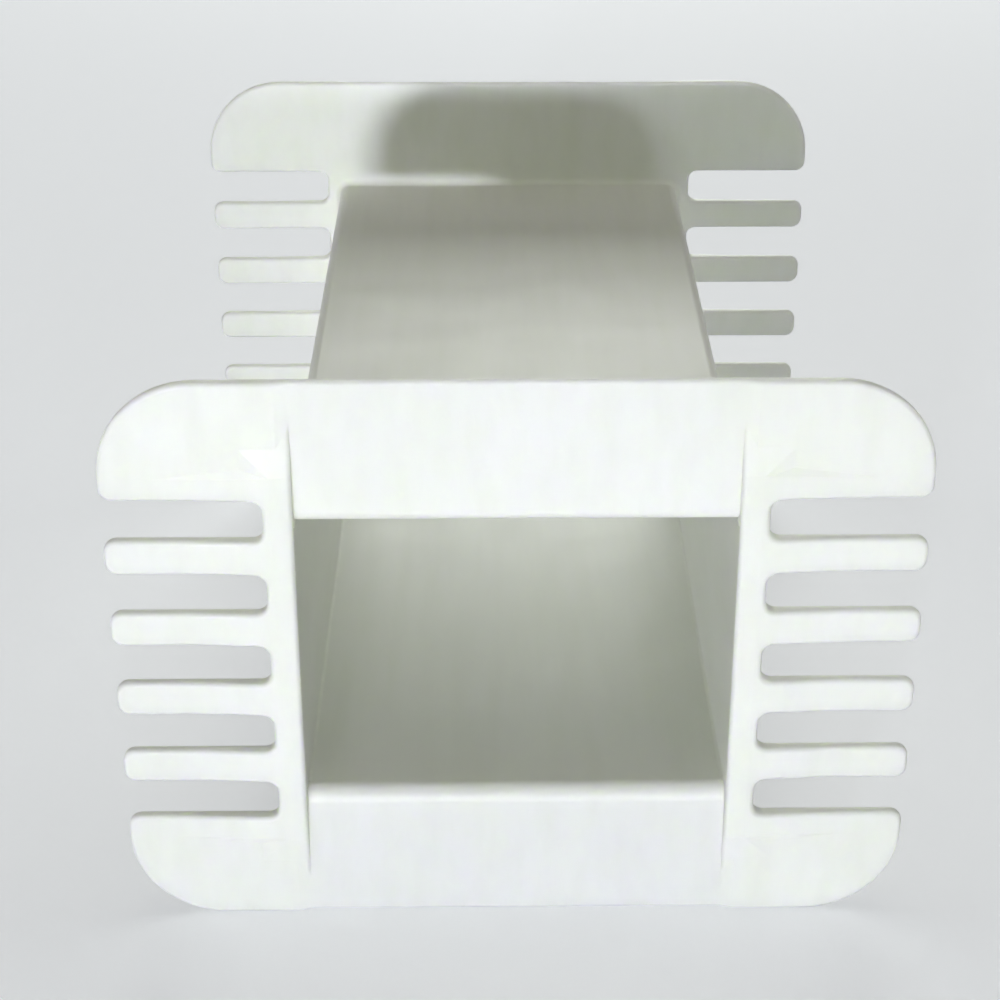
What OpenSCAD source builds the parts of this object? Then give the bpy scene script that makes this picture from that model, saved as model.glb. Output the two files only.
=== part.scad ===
// Coil bobbin for a pair of E cores, moulded in one piece.
//
// A rectangular tube carries the winding and slides over the centre leg of the
// core. A comb flange closes each end. Open slots in both sides of a flange let
// the leads out, and a low rib on each side of the bore keeps the yoke of the
// core on its seat.
//
// +X runs across the flanges, +Y along the tube and +Z up.
// The origin is the middle of the bore. Sizes are in mm.

/* [Bore and tube] */
// Bore width, for the stack thickness of the centre leg
bore_w = 52.6; // [48:0.2:53]
// Bore height, for the width of the centre leg
bore_h = 38.4; // [37:0.1:39]
// Wall thickness of the tube
wall = 1.4; // [1.2:0.1:1.8]
// Radius on the long outer edges of the tube, which the wire bends round
tube_r = 1.5; // [1:0.1:3]
// Radius of the lip where the yoke seat meets the bore
mouth_r = 2; // [0.4:0.1:2]

/* [Flanges] */
// Distance between the outer faces of the two flanges
length = 113.4; // [100:0.2:116]
// Flange width across the combs
flange_w = 98; // [94:0.5:106]
// Flange height, at most four halves of the centre leg
flange_h = 76; // [75:0.2:84]
// Corner radius of the flange outline
corner_r = 12; // [8:0.5:12]
// Flange thickness at the ears and fingers
plate_t = 1.6; // [1.5:0.1:2.2]
// How far the yoke seat lies below the ears
seat_drop = 0.5; // [0.2:0.1:0.6]
// Fillet between the tube and the inner face of a flange
root_r = 1; // [0.5:0.1:1.2]

/* [Lead slots] */
// Number of open slots in each side of a flange
slot_count = 5; // [3:1:5]
// Height of a slot
slot_h = 5.4; // [4.4:0.1:5.8]
// Distance between the middles of two slots
slot_pitch = 10; // [9.4:0.1:10]
// Corner radius at the closed end of a slot
slot_r = 1.4; // [0.6:0.1:2]
// Corner radius of the finger tips and of the ears beside the slot mouths
tip_r = 1.6; // [0.8:0.1:1.8]

/* [Ribs and gussets] */
// Width from the bore to the closed ends of the slots, which carries the rib
rib_w = 3.6; // [3.2:0.1:5]
// Height of the rib above the ears
rib_h = 0.6; // [0.3:0.1:1.2]
// Half the length of a rib
rib_z = 32.5; // [31:0.5:35]
// Run of the slope that ends a rib
rib_run = 6.5; // [4:0.5:9]
// Length along a finger over which its gusset runs out
gusset_len = 9.5; // [4:0.5:14]
// Height of the gusset strip that each ear carries beside its slot
strip_h = 4.5; // [2:0.5:6]
// Length over which a gusset strip runs out
strip_len = 13; // [6:0.5:15]
// How much lower a gusset strip is at its thin end
strip_taper = 1.6; // [0:0.1:1.8]

/* [Hidden] */
$fn = 64;
embed = 0.4;

tube_w = bore_w + 2 * wall;
tube_h = bore_h + 2 * wall;
seat_t = plate_t - seat_drop;
top_t = plate_t + rib_h;
inner_y = length / 2 - plate_t;
bore_x = bore_w / 2;
web_x = bore_x + rib_w;
crest_x = web_x - 1;
finger_h = slot_pitch - slot_h;
finger_r = min(tip_r, finger_h / 2 - 0.2);
comb_z = (slot_count - 1) / 2 * slot_pitch + slot_h / 2;
strip_z = comb_z + strip_h;
fillet_r = min(root_r, rib_w - wall - 0.2);

// ---- Outline of a flange ----

module rounded_rect(w, h, r) {
    square([w - 2 * r, h], center = true);
    square([w, h - 2 * r], center = true);
    for (sx = [-1, 1], sy = [-1, 1])
        translate([sx * (w / 2 - r), sy * (h / 2 - r)]) circle(r);
}

// One open slot on the right, with round corners at its closed end and a mouth
// that rounds the tips on both sides of it.
module lead_slot() {
    mouth = flange_w / 2;
    translate([web_x + slot_r, -slot_h / 2]) square([mouth - web_x, slot_h]);
    translate([web_x, slot_r - slot_h / 2]) square([slot_r + 1, slot_h - 2 * slot_r]);
    for (s = [-1, 1]) {
        translate([web_x + slot_r, s * (slot_h / 2 - slot_r)]) circle(slot_r);
        flipped(s) translate([mouth - finger_r, slot_h / 2 - 0.1]) difference() {
            square([finger_r + 1, finger_r + 0.1]);
            translate([0, finger_r + 0.1]) circle(finger_r);
        }
    }
}

// Drawn as it is for s = 1 and upside down for s = -1.
module flipped(s) {
    if (s > 0) children();
    else mirror([0, 1]) children();
}

module comb_outline() {
    difference() {
        rounded_rect(flange_w, flange_h, corner_r);
        for (side = [0, 1]) mirror([side, 0])
            for (i = [0 : slot_count - 1])
                translate([0, (i - (slot_count - 1) / 2) * slot_pitch]) lead_slot();
    }
}

// ---- Flange ----
// Drawn with its inner face on z = 0 and its outer face towards +z; x runs
// across and y up.

// Thickness of the plate across its width: the seat, a short ramp, then the ear.
module plate_body() {
    edge = flange_w / 2 + 1;
    ramp = 1.6;
    rotate([90, 0, 0]) linear_extrude(flange_h + 2, center = true) polygon([
        [-edge, 0], [edge, 0], [edge, plate_t], [bore_x + ramp, plate_t],
        [bore_x, seat_t], [-bore_x, seat_t], [-bore_x - ramp, plate_t], [-edge, plate_t]
    ]);
}

// Wedge that is full height at the rib and flush with the ear at end_x.
module wedge(end_x, height) {
    rotate([90, 0, 0]) linear_extrude(height, center = true) polygon([
        [bore_x, 0], [end_x, 0], [end_x, plate_t], [crest_x, top_t], [bore_x, top_t]
    ]);
}

// Gusset strip of an ear. Its upper side slopes off and comes down towards the tip.
module ear_strip() {
    tilt = atan(strip_taper / strip_len);
    slope = 1.4;
    low = strip_h + slot_h / 2 + 0.5;
    intersection() {
        translate([0, comb_z, 0]) wedge(web_x + strip_len, slot_h + 2 * strip_h);
        translate([web_x, strip_z, 0]) rotate([0, 0, -tilt])
            rotate([90, 0, 90]) linear_extrude(80, center = true) polygon([
                [-low, -1], [0, -1], [0, plate_t],
                [-slope, top_t], [-slope, top_t + 1], [-low, top_t + 1]
            ]);
    }
}

// Rib beside the bore, with a steep inner side, a soft outer side and ends that
// slope down to the seat.
module yoke_rib() {
    foot_x = web_x + 2.4;
    intersection() {
        rotate([90, 0, 0]) linear_extrude(2 * rib_z, center = true) polygon([
            [bore_x, 0], [foot_x, 0], [foot_x, plate_t], [crest_x, top_t], [bore_x, top_t]
        ]);
        translate([bore_x - 1, 0, 0]) rotate([90, 0, 90]) linear_extrude(rib_w + 5) polygon([
            [-rib_z, 0], [rib_z, 0], [rib_z, seat_t], [rib_z - rib_run, top_t],
            [rib_run - rib_z, top_t], [-rib_z, seat_t]
        ]);
    }
}

module flange() {
    intersection() {
        linear_extrude(top_t) comb_outline();
        union() {
            plate_body();
            for (side = [0, 1]) mirror([side, 0, 0]) {
                wedge(web_x + gusset_len, 2 * comb_z - slot_h);
                for (up = [0, 1]) mirror([0, up, 0]) ear_strip();
                yoke_rib();
            }
        }
    }
}

// ---- Fillet between the tube and a flange ----
// Same axes as the flange; it lies on the tube side, below z = 0.

// x is the distance from the tube, y the distance from the flange.
module fillet_profile() {
    difference() {
        translate([-embed, -embed]) square(fillet_r + embed);
        translate([fillet_r, fillet_r]) circle(fillet_r);
    }
}

module root_fillet() {
    flat_w = tube_w - 2 * tube_r;
    flat_h = tube_h - 2 * tube_r;
    mirror([0, 0, 1]) for (turn = [0, 180]) rotate([0, 0, turn]) {
        translate([-flat_w / 2, tube_h / 2, 0])
            rotate([90, 0, 90]) linear_extrude(flat_w) fillet_profile();
        translate([tube_w / 2, 0, 0])
            rotate([90, 0, 0]) linear_extrude(flat_h, center = true) fillet_profile();
        translate([flat_w / 2, flat_h / 2, 0])
            rotate_extrude(angle = 90) translate([tube_r, 0]) fillet_profile();
        translate([-flat_w / 2, flat_h / 2, 0]) rotate([0, 0, 90])
            rotate_extrude(angle = 90) translate([tube_r, 0]) fillet_profile();
    }
}

// ---- Cuts ----

// Rounds the edge between a yoke seat and the floor or roof of the bore.
module mouth_cut() {
    for (s = [0, 1]) mirror([0, s, 0])
        translate([-bore_x, bore_h / 2, seat_t - mouth_r])
            rotate([90, 0, 90]) linear_extrude(bore_w) difference() {
                translate([-0.2, 0]) square([mouth_r + 0.2, mouth_r + 0.2]);
                translate([mouth_r, 0]) circle(mouth_r);
            }
}

module bore_cut() {
    rotate([90, 0, 0]) linear_extrude(length + 10, center = true)
        rounded_rect(bore_w, bore_h, 0.5);
}

// Places what is drawn in flange axes at both ends of the tube.
module at_both_ends() {
    for (s = [0, 1]) mirror([0, s, 0])
        translate([0, -inner_y, 0]) rotate([90, 0, 0]) children();
}

// ---- The part ----

module tube() {
    rotate([90, 0, 0]) linear_extrude(2 * (inner_y + embed), center = true)
        rounded_rect(tube_w, tube_h, tube_r);
}

module bobbin() {
    color([0.93, 0.94, 0.9]) difference() {
        union() {
            tube();
            at_both_ends() {
                flange();
                root_fillet();
            }
        }
        bore_cut();
        at_both_ends() mouth_cut();
    }
}

bobbin();
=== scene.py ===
import bmesh, bpy, math
from mathutils import Matrix, Vector


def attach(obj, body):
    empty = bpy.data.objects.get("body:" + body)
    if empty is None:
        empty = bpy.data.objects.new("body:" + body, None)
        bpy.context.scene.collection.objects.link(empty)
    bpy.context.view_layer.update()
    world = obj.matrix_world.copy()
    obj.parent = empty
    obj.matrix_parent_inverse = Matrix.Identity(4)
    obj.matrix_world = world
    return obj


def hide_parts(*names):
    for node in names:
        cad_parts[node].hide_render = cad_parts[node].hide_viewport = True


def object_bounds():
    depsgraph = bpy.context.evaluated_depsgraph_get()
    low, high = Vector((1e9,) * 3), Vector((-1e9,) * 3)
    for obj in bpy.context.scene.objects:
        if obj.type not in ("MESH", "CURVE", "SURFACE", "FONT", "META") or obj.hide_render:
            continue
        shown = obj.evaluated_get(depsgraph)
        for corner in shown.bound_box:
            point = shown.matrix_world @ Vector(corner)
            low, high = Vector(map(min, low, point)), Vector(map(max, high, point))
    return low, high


bpy.ops.wm.read_factory_settings(use_empty=True)
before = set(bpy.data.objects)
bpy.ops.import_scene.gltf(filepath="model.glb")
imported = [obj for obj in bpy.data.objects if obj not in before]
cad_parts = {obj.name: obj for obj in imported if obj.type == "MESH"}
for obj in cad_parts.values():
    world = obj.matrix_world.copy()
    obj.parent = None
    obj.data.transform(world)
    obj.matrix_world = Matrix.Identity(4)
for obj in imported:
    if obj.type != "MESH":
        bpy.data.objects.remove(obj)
cad_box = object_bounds()

# ---------------------------------------------------------------- the moulding
# The bobbin is one injection moulding in natural nylon 66: the tube that carries the
# coil, with a comb flange at each end. The piece is the form of the solid, with every
# rim, finger and rib turned over the small radius that a moulding tool gives them.

RIM_RADIUS = 0.55e-3
RIM_FACETS = 3
MERGE_WITHIN = 0.03e-3                 # a finer step would widen as its edges are rounded
FLAT_WITHIN = math.radians(0.3)        # facets that bend less than this are one flat face
RIM_BEND = math.radians(40)            # an outer edge that bends more than this is a rim
HARD_BEND = math.radians(38)           # an edge that bends more than this is shaded hard
CREASE_BEND = math.radians(1)          # and on the face of a flange, one that bends more than this
FLANGE_FACING = 0.8                    # the least that a flange face's normal has along the tube

LIP_X, LIP_Z = 26.4e-3, 21.6e-3        # the lip of the bore, which is round already
LIP_Y = (50e-3, 56.9e-3)

shape = bmesh.new()
shape.from_mesh(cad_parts["bobbin"].data)
bmesh.ops.remove_doubles(shape, verts=shape.verts, dist=MERGE_WITHIN)
bmesh.ops.dissolve_limit(shape, angle_limit=FLAT_WITHIN, verts=shape.verts, edges=shape.edges)
shape.normal_update()


def on_lip(edge):
    return all(abs(v.co.x) < LIP_X and abs(v.co.z) < LIP_Z and LIP_Y[0] < abs(v.co.y) < LIP_Y[1]
               for v in edge.verts)


rims = [e for e in shape.edges
        if e.is_manifold and e.is_convex and e.calc_face_angle() > RIM_BEND and not on_lip(e)]
turned = set(bmesh.ops.bevel(shape, geom=rims, offset=RIM_RADIUS, offset_type="OFFSET",
                             segments=RIM_FACETS, profile=0.5, affect="EDGES",
                             clamp_overlap=False)["faces"])


def is_crease(edge):
    """A shallow bend on the outer face of a flange, where a rib, gusset or strip starts."""
    return (edge.calc_face_angle() > CREASE_BEND and not on_lip(edge)
            and all(abs(f.normal.y) > FLANGE_FACING and f not in turned
                    for f in edge.link_faces))


shape.normal_update()
for face in shape.faces:
    face.smooth = True
for edge in shape.edges:
    edge.smooth = not (edge.calc_face_angle() > HARD_BEND or is_crease(edge))

moulding_mesh = bpy.data.meshes.new("bobbin_moulding")
shape.to_mesh(moulding_mesh)
shape.free()
moulding = bpy.data.objects.new("bobbin_moulding", moulding_mesh)
bpy.context.scene.collection.objects.link(moulding)

# Large faces set the shading at their edges, so flats stay flat beside a radius.
even = moulding.modifiers.new("flats_stay_flat", "WEIGHTED_NORMAL")
even.mode = "FACE_AREA"
even.weight = 100
even.keep_sharp = True


def add_node(tree, kind, settings=None, links=None):
    """Adds one node. A setting names a property or an input socket; a link gives
    the socket that an input takes its value from."""
    node = tree.nodes.new(kind)
    for name, value in (settings or {}).items():
        if isinstance(name, str) and hasattr(node, name):
            setattr(node, name, value)
        else:
            node.inputs[name].default_value = value
    for name, source in (links or {}).items():
        tree.links.new(source, node.inputs[name])
    return node


def linear(code):
    """A colour written as an sRGB hex value, turned to linear."""
    parts = [int(code[i:i + 2], 16) / 255 for i in (1, 3, 5)]
    return [c / 12.92 if c <= 0.04045 else ((c + 0.055) / 1.055) ** 2.4 for c in parts] + [1]


# Natural nylon 66, moulded without pigment: milky, a little yellow-green in its depth,
# and thin enough in the flanges for light to pass. The spark-eroded tool gives it a
# fine satin grain, and the melt leaves faint clouds where it flowed and cooled.
nylon = bpy.data.materials.new("natural_nylon_moulded")
nylon.use_nodes = True
tree = nylon.node_tree
tree.nodes.clear()

MM = 1000                              # patterns are in metres, so a size of s mm is MM / s
FACTOR, FIRST, SECOND, MIXED = 0, 6, 7, 2      # the sockets of a node that mixes colours

place = add_node(tree, "ShaderNodeTexCoord").outputs["Object"]

# Clouds of slightly different milkiness, about 26 mm across.
clouds = add_node(tree, "ShaderNodeTexNoise",
                  {"Scale": MM / 26, "Detail": 3.0, "Roughness": 0.45}, {"Vector": place})
cloud_step = add_node(tree, "ShaderNodeMapRange",
                      {"From Min": 0.35, "From Max": 0.65}, {"Value": clouds.outputs["Fac"]})
body_colour = add_node(tree, "ShaderNodeMix",
                       {"data_type": "RGBA", FIRST: linear("#F0F2E8"), SECOND: linear("#F4F5ED")},
                       {FACTOR: cloud_step.outputs["Result"]})

# Flow marks: soft streaks 3 mm apart, drawn out ten times as long with the melt.
flow_axes = add_node(tree, "ShaderNodeMapping", {"Scale": (1.0, 0.1, 0.35)}, {"Vector": place})
flow = add_node(tree, "ShaderNodeTexNoise",
                {"Scale": MM / 3, "Detail": 2.0, "Roughness": 0.5},
                {"Vector": flow_axes.outputs["Vector"]})
flow_step = add_node(tree, "ShaderNodeMapRange",
                     {"From Min": 0.4, "From Max": 0.75, "To Max": 0.35},
                     {"Value": flow.outputs["Fac"]})
flow_colour = add_node(tree, "ShaderNodeMix",
                       {"data_type": "RGBA", SECOND: linear("#E8EBDD")},
                       {FACTOR: flow_step.outputs["Result"], FIRST: body_colour.outputs[MIXED]})

# Satin that varies a little over the skin, about 7 mm across.
satin_patch = add_node(tree, "ShaderNodeTexNoise",
                       {"Scale": MM / 7, "Detail": 4.0, "Roughness": 0.55}, {"Vector": place})
satin = add_node(tree, "ShaderNodeMapRange",
                 {"From Min": 0.3, "From Max": 0.7, "To Min": 0.41, "To Max": 0.48},
                 {"Value": satin_patch.outputs["Fac"]})

# Spark-eroded grain. The real one is 0.1 mm, too fine to show, so it is drawn at 0.4 mm.
grain = add_node(tree, "ShaderNodeTexNoise",
                 {"Scale": MM / 0.4, "Detail": 2.0, "Roughness": 0.6}, {"Vector": place})
grain_bump = add_node(tree, "ShaderNodeBump", {"Strength": 0.16, "Distance": 0.00006},
                      {"Height": grain.outputs["Fac"]})

# The skin sinks and swells by a few micrometres as it cools, about 16 mm across.
sink = add_node(tree, "ShaderNodeTexNoise",
                {"Scale": MM / 16, "Detail": 1.5, "Roughness": 0.4}, {"Vector": place})
sink_bump = add_node(tree, "ShaderNodeBump", {"Strength": 0.012, "Distance": 0.0005},
                     {"Height": sink.outputs["Fac"], "Normal": grain_bump.outputs["Normal"]})

# Light goes about 2 mm into the plastic, which is as thick as the walls and flanges.
skin_shader = add_node(tree, "ShaderNodeBsdfPrincipled",
                       {"IOR": 1.53, "Subsurface Weight": 1.0,
                        "Subsurface Radius": (0.95, 1.0, 0.85), "Subsurface Scale": 0.002},
                       {"Base Color": flow_colour.outputs[MIXED],
                        "Roughness": satin.outputs["Result"],
                        "Normal": sink_bump.outputs["Normal"]})
add_node(tree, "ShaderNodeOutputMaterial", {}, {"Surface": skin_shader.outputs["BSDF"]})

moulding_mesh.materials.append(nylon)
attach(moulding, "root")
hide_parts("bobbin")

# ------------------------------------------------------------------- the floor
# A wide sheet of uncoated backdrop paper, pale grey and matt, laid flat and curved up
# behind. The bobbin stands on it on the lower edges of its flanges.

floor_z = cad_box[0].z
PAPER_EDGE = 2.2                       # how far the paper goes to each side
FRONT_Y, BEND_Y = -1.6, 1.2            # where it starts, and where it starts to curve up
BEND_RADIUS = 0.6
BEND_FACETS = 24
WALL_TOP = 2.2

profile = [Vector((0, FRONT_Y, floor_z)), Vector((0, BEND_Y, floor_z))]
for step in range(1, BEND_FACETS + 1):
    turn = math.radians(90 * step / BEND_FACETS)
    profile.append(Vector((0, BEND_Y + BEND_RADIUS * math.sin(turn),
                           floor_z + BEND_RADIUS * (1 - math.cos(turn)))))
profile.append(Vector((0, BEND_Y + BEND_RADIUS, floor_z + WALL_TOP)))
points, quads = [], []
for row, p in enumerate(profile):
    points += [(-PAPER_EDGE, p.y, p.z), (PAPER_EDGE, p.y, p.z)]
    if row:
        quads.append((2 * row - 2, 2 * row - 1, 2 * row + 1, 2 * row))
paper_mesh = bpy.data.meshes.new("paper_sweep")
paper_mesh.from_pydata(points, [], quads)
for face in paper_mesh.polygons:
    face.use_smooth = True
paper = bpy.data.objects.new("paper_sweep", paper_mesh)
bpy.context.scene.collection.objects.link(paper)

paper_skin = bpy.data.materials.new("matt_backdrop_paper")
paper_skin.use_nodes = True
tree = paper_skin.node_tree
tree.nodes.clear()

# Clouds of pulp, 2.5 mm across.
paper_place = add_node(tree, "ShaderNodeTexCoord").outputs["Object"]
pulp = add_node(tree, "ShaderNodeTexNoise", {"Scale": MM / 2.5, "Detail": 3.0},
                {"Vector": paper_place})
paper_colour = add_node(tree, "ShaderNodeMix",
                        {"data_type": "RGBA", FIRST: linear("#DCDEE1"), SECOND: linear("#E2E4E7")},
                        {FACTOR: pulp.outputs["Fac"]})
paper_shader = add_node(tree, "ShaderNodeBsdfPrincipled", {"Roughness": 0.9, "IOR": 1.45},
                        {"Base Color": paper_colour.outputs[MIXED]})


def is_seen(tree):
    """A socket that is 1 for the eye and for reflections, and 0 for light on its way
    to the object."""
    path = add_node(tree, "ShaderNodeLightPath")
    seen = path.outputs["Is Camera Ray"]
    for ray in ("Is Glossy Ray", "Is Transmission Ray"):
        seen = add_node(tree, "ShaderNodeMath", {"operation": "MAXIMUM"},
                        {0: seen, 1: path.outputs[ray]}).outputs[0]
    return seen


# The paper also has a pale tone of its own that only the eye and reflections meet,
# so it reads as light paper without throwing more light on the object.
PAPER_TONE = 0.5
tone_level = add_node(tree, "ShaderNodeMath", {"operation": "MULTIPLY", 1: PAPER_TONE},
                      {0: is_seen(tree)})
tone = add_node(tree, "ShaderNodeEmission", {}, {"Color": paper_colour.outputs[MIXED],
                                                 "Strength": tone_level.outputs[0]})
paper_sum = add_node(tree, "ShaderNodeAddShader", {}, {0: paper_shader.outputs["BSDF"],
                                                       1: tone.outputs["Emission"]})
add_node(tree, "ShaderNodeOutputMaterial", {}, {"Surface": paper_sum.outputs["Shader"]})
paper_mesh.materials.append(paper_skin)

# ------------------------------------------------------------------- the lamps
# Small soft boxes far off in front give the main light, nearly level: one at the left
# with a dim wider one beside it, and a weaker one at the right. Two behind light the
# tube's top and bore, and dim ones fill in from the sides and overhead.


def soft_box(name, azimuth, elevation, distance, width, height, watts, colour, spread=180):
    """A lamp aimed at the middle of the bobbin. Angles are in degrees, and azimuth 0 is
    straight in front; sizes are in metres. Spread is how wide its light fans out."""
    a, e = math.radians(azimuth), math.radians(elevation)
    back = Vector((math.sin(a) * math.cos(e), -math.cos(a) * math.cos(e), math.sin(e)))
    lamp = bpy.data.lights.new(name, "AREA")
    lamp.shape, lamp.size, lamp.size_y = "RECTANGLE", width, height
    lamp.energy, lamp.color, lamp.spread = watts, colour, math.radians(spread)
    box = bpy.data.objects.new(name, lamp)
    box.location = back * distance
    box.rotation_mode = "QUATERNION"
    box.rotation_quaternion = back.to_track_quat("Z", "Y")
    bpy.context.scene.collection.objects.link(box)


soft_box("soft_box_left", azimuth=-14.2, elevation=1.1, distance=2.0, width=0.12, height=0.04,
         watts=0.65, colour=(0.9, 0.925, 1.0), spread=30)
soft_box("soft_box_left_wide", azimuth=-24, elevation=2, distance=1.6, width=0.2, height=0.1,
         watts=0.03, colour=(0.92, 0.94, 1.0), spread=40)
soft_box("soft_box_right", azimuth=12.4, elevation=2.2, distance=2.0, width=0.12, height=0.05,
         watts=0.17, colour=(0.9, 0.925, 1.0), spread=30)
soft_box("soft_box_back", azimuth=176, elevation=27, distance=1.0, width=0.42, height=0.42,
         watts=2.2, colour=(0.97, 1.0, 0.97))
soft_box("soft_box_back_low", azimuth=176, elevation=14, distance=1.0, width=0.3, height=0.3,
         watts=1.4, colour=(0.96, 1.0, 0.94))
soft_box("soft_box_side_left", azimuth=-97, elevation=14, distance=0.8, width=0.3, height=0.3,
         watts=0.07, colour=(1.0, 0.99, 0.98), spread=50)
soft_box("soft_box_side_right", azimuth=97, elevation=14, distance=0.8, width=0.3, height=0.3,
         watts=0.07, colour=(1.0, 0.99, 0.98), spread=50)
soft_box("soft_box_top", azimuth=0, elevation=85, distance=1.0, width=0.6, height=0.6,
         watts=1.6, colour=(1.0, 0.98, 0.88))

# A faint panel that lies on the floor in front and shines up, as a white card would.
CARD_WIDTH, CARD_DEPTH = 0.3, 0.16
CARD_Y, CARD_LIFT = -0.19, 0.0008
card_lamp = bpy.data.lights.new("floor_card", "AREA")
card_lamp.shape, card_lamp.size, card_lamp.size_y = "RECTANGLE", CARD_WIDTH, CARD_DEPTH
card_lamp.energy, card_lamp.color = 0.06, (1.0, 1.0, 0.97)
card = bpy.data.objects.new("floor_card", card_lamp)
card.location = (0, CARD_Y, floor_z + CARD_LIFT)
card.rotation_euler = (math.pi, 0, 0)
card.visible_camera = False
bpy.context.scene.collection.objects.link(card)

# The room is dim, so the boxes do the lighting, but the eye and reflections meet it
# as pale as the paper.
ROOM_LIGHT, ROOM_TONE = 0.035, 0.6
room = bpy.data.worlds.new("studio")
bpy.context.scene.world = room
room.use_nodes = True
tree = room.node_tree
tree.nodes.clear()
room_level = add_node(tree, "ShaderNodeMapRange", {"To Min": ROOM_LIGHT, "To Max": ROOM_TONE},
                      {"Value": is_seen(tree)})
air = add_node(tree, "ShaderNodeBackground", {"Color": linear("#E4E6E9")},
               {"Strength": room_level.outputs["Result"]})
add_node(tree, "ShaderNodeOutputWorld", {}, {"Surface": air.outputs["Background"]})

# ------------------------------------------------------------------ the camera
# A 75 mm lens on a 36 mm frame, about 0.3 m from the middle of the bobbin. It looks
# down into the near end of the tube from just left of straight in front.

CAMERA_PLACE = (-0.00295, -0.2712, 0.1416)
PAN, DOWN, ROLL = -0.72, 25.7, 0.1     # in degrees

lens = bpy.data.cameras.new("camera")
lens.sensor_width = 36
lens.lens = 75.3
lens.shift_x, lens.shift_y = -0.015, -0.12
lens.clip_start, lens.clip_end = 0.01, 20
camera = bpy.data.objects.new("camera", lens)
camera.matrix_world = (Matrix.Translation(CAMERA_PLACE)
                       @ Matrix.Rotation(math.radians(PAN), 4, "Z")
                       @ Matrix.Rotation(math.radians(90 - DOWN), 4, "X")
                       @ Matrix.Rotation(math.radians(ROLL), 4, "Z"))
bpy.context.scene.collection.objects.link(camera)
bpy.context.scene.camera = camera
bpy.context.scene.view_settings.view_transform = "Standard"
